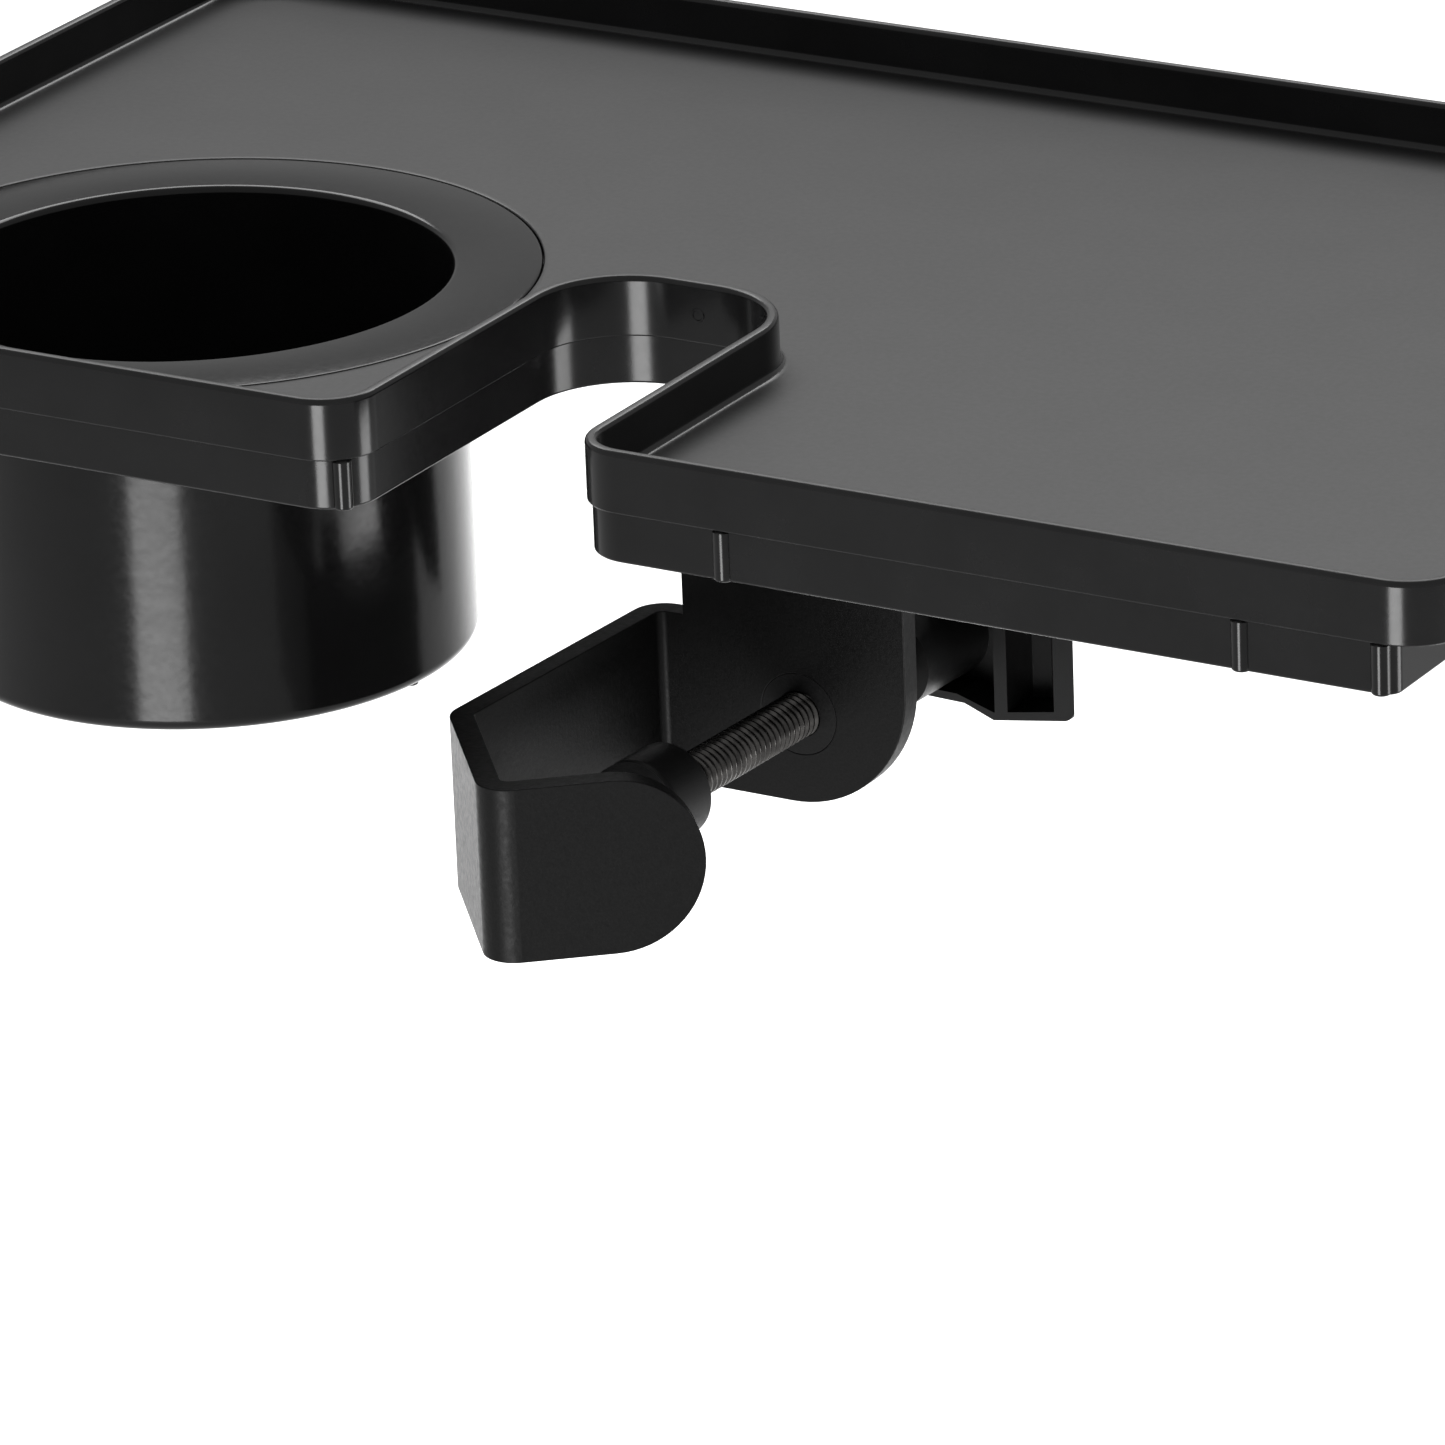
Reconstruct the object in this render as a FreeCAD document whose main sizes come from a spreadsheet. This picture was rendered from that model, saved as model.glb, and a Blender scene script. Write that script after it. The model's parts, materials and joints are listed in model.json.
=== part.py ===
import FreeCAD, Part
import math
import os

import Sketcher

# A clip-on accessory tray with a drink cup, for an upright tube such as a stand pole.
# Frame, in millimetres: +X runs along the tray's front edge to the right, +Y to the back
# and +Z up. The origin is on the axis of the clamped tube, half way up the clamp's jaw.

DIMENSIONS = [
    # The tube that the clamp is shown closed on, and the bent strip that hooks round it.
    ("tube_radius", 11.1),
    ("strip_height", 29.5),
    ("strip_thick", 4.0),
    ("bend_inside", 1.5),
    ("jaw_splay", 5.2),
    ("jaw_angle", 90.0),
    ("jaw_reach", 18.8),
    ("arm_lean", 3.6),
    # The plate that carries the strip, and the flange that it hangs from.
    ("plate_front", 60.0),
    ("plate_left", -13.0),
    ("plate_right", 28.6),
    ("plate_corner", 22.0),
    ("arm_inside", -17.4),
    ("flange_depth", 52.0),
    ("flange_bend", 3.0),
    # The tray.
    ("rim_top", 78.3),
    ("rim_height", 10.2),
    ("skirt_height", 8.3),
    ("tray_left", -170.0),
    ("tray_right", 170.0),
    ("tray_front", -26.8),
    ("tray_depth", 205.0),
    ("tray_wall", 2.1),
    ("floor_drop", 8.4),
    ("floor_thick", 2.6),
    ("corner_outer", 10.0),
    ("notch_half", 19.7),
    ("notch_depth", 73.0),
    ("notch_mouth", 9.0),
    ("notch_inner", 15.0),
    ("skirt_inset", 0.8),
    ("skirt_side_inset", 8.0),
    ("skirt_corner", 2.5),
    ("bead_radius", 1.6),
    ("bead_sink", 0.6),
    ("brace_thick", 1.8),
    ("brace_height", 5.5),
    ("brace_from_back", 40.0),
    ("brace_from_end", 66.0),
    # The cup, dropped into the floor with its rim flush.
    ("cup_x", -91.1),
    ("cup_y", 37.8),
    ("cup_inside", 43.0),
    ("cup_outer", 44.5),
    ("cup_floor", 2.4),
    ("cup_depth", 63.7),
    ("cup_edge", 2.2),
    ("cup_flange", 57.8),
    ("cup_flange_thick", 1.8),
    ("cup_play", 0.15),
    ("seat_width", 3.0),
    ("foot_radius", 1.3),
    ("foot_height", 1.0),
    ("foot_circle", 41.0),
    # The clamp screw, its bush, and the pad on its front end.
    ("screw_x", 8.4),
    ("screw_z", 0.8),
    ("screw_lean", 3.5),
    ("screw_radius", 3.9),
    ("bush_radius", 7.0),
    ("bush_boss", 9.0),
    ("bush_bore", 3.96),
    ("bush_length", 10.0),
    ("pad_radius", 8.0),
    ("pad_length", 10.1),
    ("pad_face_thick", 2.5),
    ("plug_length", 1.2),
    ("journal_radius", 2.6),
    ("journal_bore", 2.68),
    ("journal_length", 8.6),
    ("ring_radius", 4.6),
    ("ring_inner", 2.05),
    ("ring_thick", 0.8),
    ("ring_inset", 1.0),
    # The wing knob.
    ("knob_front", 86.5),
    ("neck_radius", 8.1),
    ("neck_length", 10.4),
    ("wing_half", 29.7),
    ("wing_depth", 11.0),
    ("wing_waist", 18.6),
    ("wing_height", 22.6),
    ("wing_shoulder", 13.8),
    ("wing_end_height", 17.0),
    ("wing_corner", 2.5),
    ("wing_taper", 7.4),
    ("wing_wall", 1.4),
    ("wing_end_wall", 4.0),
    ("wing_back_wall", 3.0),
    ("web_x", 15.3),
    ("web_thick", 2.5),
    ("insert_radius", 5.6),
    ("insert_length", 14.0),
    # Fasteners between the flange and the tray.
    ("fix_span_x", 27.0),
    ("fix_span_y", 30.0),
    ("fix_first_y", 14.0),
    ("fix_radius", 2.0),
    ("fix_hole", 2.25),
    ("fix_head_radius", 3.9),
    ("fix_head_height", 2.6),
    ("washer_radius", 4.6),
    ("washer_thick", 1.0),
    ("fix_insert_radius", 2.9),
    ("fix_insert_length", 6.0),
    ("boss_radius", 5.0),
]

doc = FreeCAD.newDocument("clamp_tray")
sheet = doc.addObject("Spreadsheet::Sheet", "dims")
for row, (alias, value) in enumerate(DIMENSIONS, 1):
    sheet.set(f"A{row}", alias)
    sheet.set(f"B{row}", str(value))
    sheet.setAlias(f"B{row}", alias)
doc.recompute()


def dim(name):
    return float(getattr(sheet, name))


def bind(obj, **formulas):
    """Bind properties, written with __ for a dot, to formulas of the sheet's cells."""
    for prop, formula in formulas.items():
        obj.setExpression(prop.replace("__", "."), formula)
    return obj


def where(obj, x="0", y="0", z="0"):
    return bind(obj, Placement__Base__x=x, Placement__Base__y=y, Placement__Base__z=z)


def turned(obj, axis, degrees):
    obj.Placement.Rotation = FreeCAD.Rotation(FreeCAD.Vector(*axis), degrees)
    return obj


def box(name, length, width, height, x, y, z):
    part = doc.addObject("Part::Box", name)
    return where(bind(part, Length=length, Width=width, Height=height), x, y, z)


def rod(name, radius, height, x, y, z, along="z"):
    """A cylinder from (x, y, z) towards +Z, or towards +Y when along is "y"."""
    part = doc.addObject("Part::Cylinder", name)
    bind(part, Radius=radius, Height=height)
    if along == "y":
        turned(part, (1, 0, 0), -90)
    return where(part, x, y, z)


def cone(name, radius1, radius2, height, x, y, z, along="z"):
    part = doc.addObject("Part::Cone", name)
    bind(part, Radius1=radius1, Radius2=radius2, Height=height)
    if along == "y":
        turned(part, (1, 0, 0), -90)
    return where(part, x, y, z)


def fuse(name, *shapes):
    part = doc.addObject("Part::MultiFuse", name)
    part.Shapes = list(shapes)
    part.Refine = True
    return part


def cut(name, base, tool):
    part = doc.addObject("Part::Cut", name)
    part.Base = base
    part.Tool = tool
    part.Refine = True
    return part


def compound(name, shapes):
    part = doc.addObject("Part::Compound", name)
    part.Links = list(shapes)
    return part


def value_of(formula):
    result = sheet.evalExpression(formula.replace("dims.", ""))
    return float(getattr(result, "Value", result))


def rounded_outline(name, sides, corners, z):
    """A sketch of straight sides along X and Y with round corners, at height z.

    sides holds ("x", formula) for a side at constant x and ("y", formula) at constant y,
    in turn round the outline; corners holds the radius between each side and the next.
    """
    sketch = doc.addObject("Sketcher::SketchObject", name)
    places = [value_of(formula) for _, formula in sides]
    radii = [value_of(formula) for formula in corners]
    count = len(sides)

    def corner_point(i):
        j = (i + 1) % count
        return (places[i], places[j]) if sides[i][0] == "x" else (places[j], places[i])

    points = [FreeCAD.Vector(*corner_point(i), 0) for i in range(count)]
    for i in range(count):
        start, end = points[i - 1], points[i]
        run = (end - start).normalize()
        sketch.addGeometry(Part.LineSegment(start + run * radii[i - 1], end - run * radii[i]))
    for i in range(count):
        before = (points[i - 1] - points[i]).normalize()
        after = (points[(i + 1) % count] - points[i]).normalize()
        centre = points[i] + (before + after) * radii[i]
        middle = centre - (before + after).normalize() * radii[i]
        start = points[i] + before * radii[i]
        end = points[i] + after * radii[i]
        sketch.addGeometry(Part.Arc(start, middle, end))
    for i, (axis, formula) in enumerate(sides):
        sketch.addConstraint(Sketcher.Constraint("Vertical" if axis == "x" else "Horizontal", i))
        kind = "DistanceX" if axis == "x" else "DistanceY"
        place = sketch.addConstraint(Sketcher.Constraint(kind, -1, 1, i, 1, places[i]))
        sketch.setExpression(f"Constraints[{place}]", formula)
    for i in range(count):
        arc, following = count + i, (i + 1) % count
        turns_left = (points[i] - points[i - 1]).cross(points[following] - points[i]).z > 0
        first, last = (1, 2) if turns_left else (2, 1)
        sketch.addConstraint(Sketcher.Constraint("Tangent", i, 2, arc, first))
        sketch.addConstraint(Sketcher.Constraint("Tangent", arc, last, following, 1))
        radius = sketch.addConstraint(Sketcher.Constraint("Radius", arc, radii[i]))
        sketch.setExpression(f"Constraints[{radius}]", corners[i])
    return where(sketch, z=z)


def extruded(name, sketch, height, direction=(0, 0, 1)):
    part = doc.addObject("Part::Extrusion", name)
    part.Base = sketch
    part.DirMode = "Custom"
    part.Dir = FreeCAD.Vector(*direction)
    part.Solid = True
    return bind(part, LengthFwd=height)


# ---------------------------------------------------------------- the tray

RIM_TOP = "dims.rim_top"
RIM_LOW = "dims.rim_top - dims.rim_height"
SKIRT_LOW = "dims.rim_top - dims.rim_height - dims.skirt_height"
FLOOR_TOP = "dims.rim_top - dims.floor_drop"
FLOOR_LOW = "dims.rim_top - dims.floor_drop - dims.floor_thick"


def tray_outline(name, inset, side_inset, corner, z):
    """The tray's outline, moved in by inset at front, back and notch, and by side_inset.

    corner is the radius of the four outer corners.
    """
    sides = [
        ("x", f"dims.tray_left + {side_inset}"),
        ("y", f"dims.tray_front + {inset}"),
        ("x", f"-dims.notch_half - {inset}"),
        ("y", f"dims.tray_front + dims.notch_depth + {inset}"),
        ("x", f"dims.notch_half + {inset}"),
        ("y", f"dims.tray_front + {inset}"),
        ("x", f"dims.tray_right - {side_inset}"),
        ("y", f"dims.tray_front + dims.tray_depth - {inset}"),
    ]
    mouth = f"dims.notch_mouth - {inset}"
    inner = f"dims.notch_inner + {inset}"
    corners = [corner, mouth, inner, inner, mouth, corner, corner, corner]
    return rounded_outline(name, sides, corners, z)


def tray_bead(name, x, y):
    return rod(name, "dims.bead_radius", "dims.skirt_height", x, y, SKIRT_LOW)


def fixing_places():
    """Centres of the four fixings between the flange and the tray, as pairs of formulas."""
    middle = "(dims.plate_left + dims.plate_right) / 2"
    first = "dims.plate_front + dims.fix_first_y"
    for side in ("-", "+"):
        for step in ("0 mm", "dims.fix_span_y"):
            yield (f"{middle} {side} dims.fix_span_x / 2", f"{first} + {step.replace(' mm', '')}")


def make_tray():
    wall = "dims.tray_wall"
    rim_plan = tray_outline("rim_plan", "0", "0", "dims.corner_outer", RIM_LOW)
    rim = extruded("rim_block", rim_plan, "dims.rim_height")
    skirt_plan = tray_outline("skirt_plan", "dims.skirt_inset", "dims.skirt_side_inset",
                              "dims.skirt_corner", SKIRT_LOW)
    skirt = extruded("skirt_block", skirt_plan, "dims.skirt_height")
    dish_plan = tray_outline("dish_plan", wall, wall, f"dims.corner_outer - {wall}", FLOOR_TOP)
    dish = extruded("dish_space", dish_plan, "dims.floor_drop")
    under_plan = tray_outline("under_plan", "(dims.skirt_inset + dims.tray_wall)",
                              "(dims.skirt_side_inset + dims.tray_wall)",
                              "dims.skirt_corner - dims.tray_wall", SKIRT_LOW)
    under_height = "dims.rim_height + dims.skirt_height - dims.floor_drop - dims.floor_thick"
    under = extruded("under_space", under_plan, under_height)

    shell = cut("tray_shell", fuse("tray_block", rim, skirt), fuse("tray_spaces", dish, under))

    seat_drop = "dims.cup_flange_thick"
    seat_ring = rod("seat_ring", "dims.cup_flange + dims.seat_width",
                    f"dims.floor_thick + {seat_drop}", "dims.cup_x", "dims.cup_y",
                    f"{FLOOR_TOP} - dims.floor_thick - {seat_drop}")
    recess = rod("seat_recess", "dims.cup_flange + dims.cup_play", f"{seat_drop} + 1",
                 "dims.cup_x", "dims.cup_y", f"{FLOOR_TOP} - {seat_drop}")
    opening = rod("cup_opening", "dims.cup_outer + dims.cup_play", "dims.rim_top",
                  "dims.cup_x", "dims.cup_y", "0")
    brace_y = "dims.tray_front + dims.tray_depth - dims.brace_from_back"
    brace_low = f"{FLOOR_LOW} - dims.brace_height"
    braces = [
        box("brace_long", "dims.tray_right - dims.skirt_side_inset - dims.notch_half - 1",
            "dims.brace_thick", "dims.brace_height", "dims.notch_half", brace_y, brace_low),
        box("brace_wide", "dims.brace_thick", "dims.tray_depth - 2 * dims.tray_wall",
            "dims.brace_height", "dims.tray_right - dims.brace_from_end",
            "dims.tray_front + dims.tray_wall", brace_low),
        box("brace_left", "-dims.cup_x - dims.notch_half + 40", "dims.brace_thick",
            "dims.brace_height", "dims.cup_x - 40", brace_y, brace_low),
    ]
    bosses = [
        rod(f"boss_{i}", "dims.boss_radius", f"({FLOOR_LOW}) - ({SKIRT_LOW})", x, y, SKIRT_LOW)
        for i, (x, y) in enumerate(fixing_places())
    ]
    sockets = [
        rod(f"socket_{i}", "dims.fix_insert_radius", "dims.fix_insert_length + 1",
            x, y, f"{SKIRT_LOW} - 1")
        for i, (x, y) in enumerate(fixing_places())
    ]
    front = "dims.tray_front + dims.skirt_inset + dims.bead_sink"
    side = "dims.tray_right - dims.skirt_side_inset - dims.bead_sink"
    beads = [tray_bead(f"bead_{i}", f"dims.notch_half + {step}", front)
             for i, step in enumerate((27.2, 116.4, 139.7))]
    beads += [tray_bead(f"bead_left_{i}", f"-dims.notch_half - {step}", front)
              for i, step in enumerate((76.0, 139.7))]
    beads += [tray_bead(f"bead_side_{i}", side, f"dims.tray_front + {step}")
              for i, step in enumerate((40.0, 110.0, 180.0))]
    share = round(1 - math.sqrt(0.5), 4)
    corner_x = f"-dims.notch_half - dims.notch_mouth * {share} - dims.skirt_inset"
    corner_y = f"dims.tray_front + dims.notch_mouth * {share} + dims.skirt_inset"
    beads.append(tray_bead("bead_corner", corner_x, corner_y))

    solid = fuse("tray_solid", shell, seat_ring, *braces, *bosses, *beads)
    return cut("tray", solid, fuse("tray_holes", recess, opening, *sockets))


# ---------------------------------------------------------------- the drink cup

FOOT_TURN = -4


def make_cup():
    """A straight-sided cup whose wide flange lies flush in the tray's floor."""
    x, y = "dims.cup_x", "dims.cup_y"
    base = "dims.rim_top - dims.floor_drop - dims.cup_depth"
    body = rod("cup_body", "dims.cup_outer", "dims.cup_depth", x, y, base)
    flange = rod("cup_flange_disc", "dims.cup_flange", "dims.cup_flange_thick", x, y,
                 f"{FLOOR_TOP} - dims.cup_flange_thick")
    space = rod("cup_space", "dims.cup_inside", "dims.cup_depth - dims.cup_floor", x, y,
                f"{base} + dims.cup_floor")
    doc.recompute()
    edge = doc.addObject("Part::Fillet", "cup_body_rounded")
    edge.Base = body
    low = value_of(base)
    rim = [i for i, e in enumerate(body.Shape.Edges, 1)
           if e.BoundBox.ZMax < low + 0.1 and e.BoundBox.XLength > dim("cup_outer")]
    edge.Edges = [(i, dim("cup_edge"), dim("cup_edge")) for i in rim]
    feet = []
    for i in range(3):
        turn = math.radians(FOOT_TURN + 120 * i)
        feet.append(rod(f"cup_foot_{i}", "dims.foot_radius", "dims.foot_height + 0.5",
                        f"{x} + dims.foot_circle * {math.cos(turn):.4f}",
                        f"{y} + dims.foot_circle * {math.sin(turn):.4f}",
                        f"{base} - dims.foot_height"))
    return cut("drink_cup", fuse("cup_solid", edge, flange, *feet), space)


# ---------------------------------------------------------------- the clamp bracket

def unit(degrees):
    return FreeCAD.Vector(math.cos(math.radians(degrees)), math.sin(math.radians(degrees)), 0)


def meeting(point1, run1, point2, run2):
    """The point where two lines in the XY plane meet."""
    gap = point2 - point1
    return point1 + run1 * ((gap.x * run2.y - gap.y * run2.x) / (run1.x * run2.y - run1.y * run2.x))


def strip_corners():
    """Corners of the strip's mid line: back wall, arm, left leg, right leg.

    The two legs make the V that the tube lies in, both touching the tube. The V leans by
    the splay and the arm by a little less, as the hook does when the screw pulls it tight.
    """
    half = dim("strip_thick") / 2
    reach = dim("tube_radius") + half
    arm_run = unit(90 - dim("arm_lean"))
    left_run = unit(90 + dim("jaw_angle") / 2 - dim("jaw_splay"))
    right_run = unit(90 - dim("jaw_angle") / 2 - dim("jaw_splay"))
    left_point = FreeCAD.Vector(-left_run.y, left_run.x, 0) * reach
    right_point = FreeCAD.Vector(right_run.y, -right_run.x, 0) * reach
    back_point = FreeCAD.Vector(0, dim("plate_front") + half, 0)
    arm_inner = FreeCAD.Vector(dim("arm_inside"), dim("plate_front"), 0)
    arm_point = arm_inner + FreeCAD.Vector(-arm_run.y, arm_run.x, 0) * half
    back_corner = meeting(arm_point, arm_run, back_point, FreeCAD.Vector(1, 0, 0))
    arm_corner = meeting(arm_point, arm_run, left_point, left_run)
    apex = meeting(left_point, left_run, right_point, right_run)
    tip = apex + right_run * dim("jaw_reach")
    start = FreeCAD.Vector(dim("plate_left") + 2, dim("plate_front") + half, 0)
    return [start, back_corner, arm_corner, apex, tip]


def bent_path(points, radius):
    """A wire of straight runs joined by tangent arcs of one radius."""
    edges = []
    start = points[0]
    for before, corner, after in zip(points, points[1:], points[2:]):
        into = (corner - before).normalize()
        out = (after - corner).normalize()
        turn = into.getAngle(out)
        setback = radius * math.tan(turn / 2)
        arc_start = corner - into * setback
        arc_end = corner + out * setback
        inward = (out - into).normalize()
        middle = corner + inward * (radius / math.cos(turn / 2) - radius)
        edges.append(Part.LineSegment(start, arc_start).toShape())
        edges.append(Part.Arc(arc_start, middle, arc_end).toShape())
        start = arc_end
    edges.append(Part.LineSegment(start, points[-1]).toShape())
    return Part.Wire(edges)


def make_strip():
    """The bent strip: a flat bar swept along its mid line, with a half-round free end."""
    thick, height = dim("strip_thick"), dim("strip_height")
    points = strip_corners()
    path = bent_path(points, dim("bend_inside") + thick / 2)
    start = points[0]
    low, high = -height / 2, height / 2
    section = Part.makePolygon([
        FreeCAD.Vector(start.x, start.y - thick / 2, low),
        FreeCAD.Vector(start.x, start.y + thick / 2, low),
        FreeCAD.Vector(start.x, start.y + thick / 2, high),
        FreeCAD.Vector(start.x, start.y - thick / 2, high),
        FreeCAD.Vector(start.x, start.y - thick / 2, low),
    ])
    bar = path.makePipeShell([section], True, False)
    run = (points[-1] - points[-2]).normalize()
    across = FreeCAD.Vector(run.y, -run.x, 0)
    disc = Part.makeCylinder(height / 2, thick, points[-1] - across * (thick / 2), across)
    strip = doc.addObject("Part::Feature", "strip")
    strip.Shape = bar.fuse(disc).removeSplitter()
    return strip


def make_plate():
    """The upright plate, with one large round corner, low on its free side."""
    sketch = doc.addObject("Sketcher::SketchObject", "plate_plan")
    left, right = dim("plate_left"), dim("plate_right")
    low = -dim("strip_height") / 2
    high = value_of(SKIRT_LOW)
    radius = dim("plate_corner")
    corner = FreeCAD.Vector(right - radius, low + radius, 0)
    middle = corner + unit(-45) * radius
    V = FreeCAD.Vector
    lines = [
        Part.LineSegment(V(left, high, 0), V(left, low, 0)),
        Part.LineSegment(V(left, low, 0), V(right - radius, low, 0)),
        Part.Arc(V(right - radius, low, 0), middle, V(right, low + radius, 0)),
        Part.LineSegment(V(right, low + radius, 0), V(right, high, 0)),
        Part.LineSegment(V(right, high, 0), V(left, high, 0)),
    ]
    for line in lines:
        sketch.addGeometry(line)
    for i, kind in ((0, "Vertical"), (1, "Horizontal"), (3, "Vertical"), (4, "Horizontal")):
        sketch.addConstraint(Sketcher.Constraint(kind, i))
    sketch.addConstraint(Sketcher.Constraint("Coincident", 0, 2, 1, 1))
    sketch.addConstraint(Sketcher.Constraint("Tangent", 1, 2, 2, 1))
    sketch.addConstraint(Sketcher.Constraint("Tangent", 2, 2, 3, 1))
    sketch.addConstraint(Sketcher.Constraint("Coincident", 3, 2, 4, 1))
    sketch.addConstraint(Sketcher.Constraint("Coincident", 4, 2, 0, 1))
    bound = [
        (Sketcher.Constraint("DistanceX", -1, 1, 0, 1, left), "dims.plate_left"),
        (Sketcher.Constraint("DistanceX", -1, 1, 3, 1, right), "dims.plate_right"),
        (Sketcher.Constraint("DistanceY", -1, 1, 1, 1, low), "-dims.strip_height / 2"),
        (Sketcher.Constraint("DistanceY", -1, 1, 4, 1, high), SKIRT_LOW),
        (Sketcher.Constraint("Radius", 2, radius), "dims.plate_corner"),
    ]
    for constraint, formula in bound:
        sketch.setExpression(f"Constraints[{sketch.addConstraint(constraint)}]", formula)
    turned(sketch, (1, 0, 0), 90)
    where(sketch, y="dims.plate_front + dims.strip_thick")
    return extruded("plate", sketch, "dims.strip_thick", (0, -1, 0))


def make_bracket():
    """One stamped and bent piece: the flange under the tray, the plate and the hook."""
    width = "dims.plate_right - dims.plate_left"
    flange = box("flange", width, "dims.flange_depth", "dims.strip_thick",
                 "dims.plate_left", "dims.plate_front", f"{SKIRT_LOW} - dims.strip_thick")
    gusset = cut("bend_fill",
                 box("bend_block", width, "dims.flange_bend", "dims.flange_bend",
                     "dims.plate_left", "dims.plate_front + dims.strip_thick",
                     f"{SKIRT_LOW} - dims.strip_thick - dims.flange_bend"),
                 turned(rod("bend_round", "dims.flange_bend", width, "dims.plate_left",
                            "dims.plate_front + dims.strip_thick + dims.flange_bend",
                            f"{SKIRT_LOW} - dims.strip_thick - dims.flange_bend"),
                        (0, 1, 0), 90))
    holes = [
        rod(f"flange_hole_{i}", "dims.fix_hole", "dims.strip_thick + 2", x, y,
            f"{SKIRT_LOW} - dims.strip_thick - 1")
        for i, (x, y) in enumerate(fixing_places())
    ]
    bush_hole = rod("bush_hole", "dims.bush_radius", "dims.strip_thick + 2",
                    "dims.screw_x", "dims.plate_front - 1", "dims.screw_z", "y")
    solid = fuse("bracket_solid", flange, gusset, make_plate(), make_strip())
    return cut("clamp_bracket", solid, fuse("bracket_holes", bush_hole, *holes))


# ---------------------------------------------------------------- the screw and its pad

def on_screw(name, radius, length, start):
    """A cylinder on the clamp screw's axis before it leans, from y = start to the knob."""
    return rod(name, radius, length, "dims.screw_x", start, "dims.screw_z", "y")


def leaned(obj):
    """Turn a finished piece with the screw, about the point where it passes the plate."""
    pivot = FreeCAD.Vector(dim("screw_x"), dim("plate_front"), dim("screw_z"))
    turn = FreeCAD.Rotation(FreeCAD.Vector(0, 0, 1), -dim("screw_lean"))
    obj.Placement = FreeCAD.Placement(FreeCAD.Vector(), turn, pivot)
    return obj


PAD_FRONT = ("dims.plate_front + dims.tube_radius - dims.plate_front * cos(dims.screw_lean * 1 deg)"
             " - dims.screw_x * sin(dims.screw_lean * 1 deg)")
PAD_BODY = f"{PAD_FRONT} + dims.pad_face_thick"
PAD_REAR = f"{PAD_BODY} + dims.pad_length"
JOURNAL_TIP = f"{PAD_REAR} - dims.journal_length"


def make_bush():
    body = on_screw("bush_body", "dims.bush_radius", "dims.strip_thick", "dims.plate_front")
    boss = on_screw("bush_shoulder", "dims.bush_boss", "dims.bush_length - dims.strip_thick",
                    "dims.plate_front + dims.strip_thick")
    bore = on_screw("bush_thread", "dims.bush_bore", "dims.bush_length + 2",
                    "dims.plate_front - 1")
    return cut("threaded_bush", fuse("bush_solid", body, boss), leaned(compound("bores", [bore])))


def make_screw():
    """The clamp screw: a long threaded shank, with a turned journal for the pad."""
    shank = on_screw("screw_shank", "dims.screw_radius",
                     f"dims.knob_front + dims.neck_length + dims.wing_depth / 2 - ({PAD_REAR})",
                     PAD_REAR)
    journal = on_screw("screw_journal", "dims.journal_radius", "dims.journal_length",
                       JOURNAL_TIP)
    groove = cut("ring_groove",
                 on_screw("groove_outer", "dims.journal_radius + 1", "dims.ring_thick + 0.1",
                          f"{JOURNAL_TIP} + dims.ring_inset - 0.05"),
                 on_screw("groove_inner", "dims.ring_inner", "dims.ring_thick + 2",
                          f"{JOURNAL_TIP} + dims.ring_inset - 1"))
    return leaned(cut("clamp_screw", fuse("screw_solid", shank, journal), groove))


def make_pad():
    """The pad body: a plain drum that turns freely on the screw's journal."""
    drum = on_screw("pad_drum", "dims.pad_radius", "dims.pad_length", PAD_BODY)
    bore = on_screw("pad_bore", "dims.journal_bore", "dims.pad_length",
                    f"{JOURNAL_TIP} + dims.ring_inset + dims.ring_thick")
    chamber = on_screw("pad_chamber", "dims.ring_radius + 0.3",
                       f"{JOURNAL_TIP} + dims.ring_inset + dims.ring_thick + 1.2 - ({PAD_BODY})",
                       f"{PAD_BODY} - 1")
    return leaned(cut("pressure_pad", drum, fuse("pad_spaces", bore, chamber)))


def make_pad_face():
    """The soft disc that bears on the tube, with a plug that locks into the pad body."""
    disc = on_screw("face_disc", "dims.pad_radius", "dims.pad_face_thick", PAD_FRONT)
    plug = on_screw("face_plug", "dims.ring_radius + 0.3", "dims.plug_length", PAD_BODY)
    return leaned(fuse("pad_face", disc, plug))


def make_ring():
    outer = on_screw("ring_outer", "dims.ring_radius", "dims.ring_thick",
                     f"{JOURNAL_TIP} + dims.ring_inset")
    inner = on_screw("ring_bore", "dims.ring_inner", "dims.ring_thick + 2",
                     f"{JOURNAL_TIP} + dims.ring_inset - 1")
    return leaned(cut("retaining_ring", outer, inner))


# ---------------------------------------------------------------- the wing knob

WING_FRONT = "dims.knob_front + dims.neck_length"


def wing_outline(name, inset, y):
    """The wings seen from the front: lowest at the hub, highest at the webs."""
    sketch = doc.addObject("Sketcher::SketchObject", name)
    shoulder = dim("wing_shoulder")
    quarter = [
        (dim("neck_radius") - inset, dim("wing_waist") / 2 - inset),
        (shoulder, dim("wing_height") / 2 - inset),
        (dim("wing_half") - inset, dim("wing_end_height") / 2 - inset),
    ]
    corners = quarter + [(x, -z) for x, z in reversed(quarter)]
    corners += [(-x, -z) for x, z in corners]
    points = [FreeCAD.Vector(x, z, 0) for x, z in corners]
    for start, end in zip(points, points[1:] + points[:1]):
        sketch.addGeometry(Part.LineSegment(start, end))
    turned(sketch, (1, 0, 0), 90)
    return where(sketch, "dims.screw_x", y, "dims.screw_z")


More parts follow.
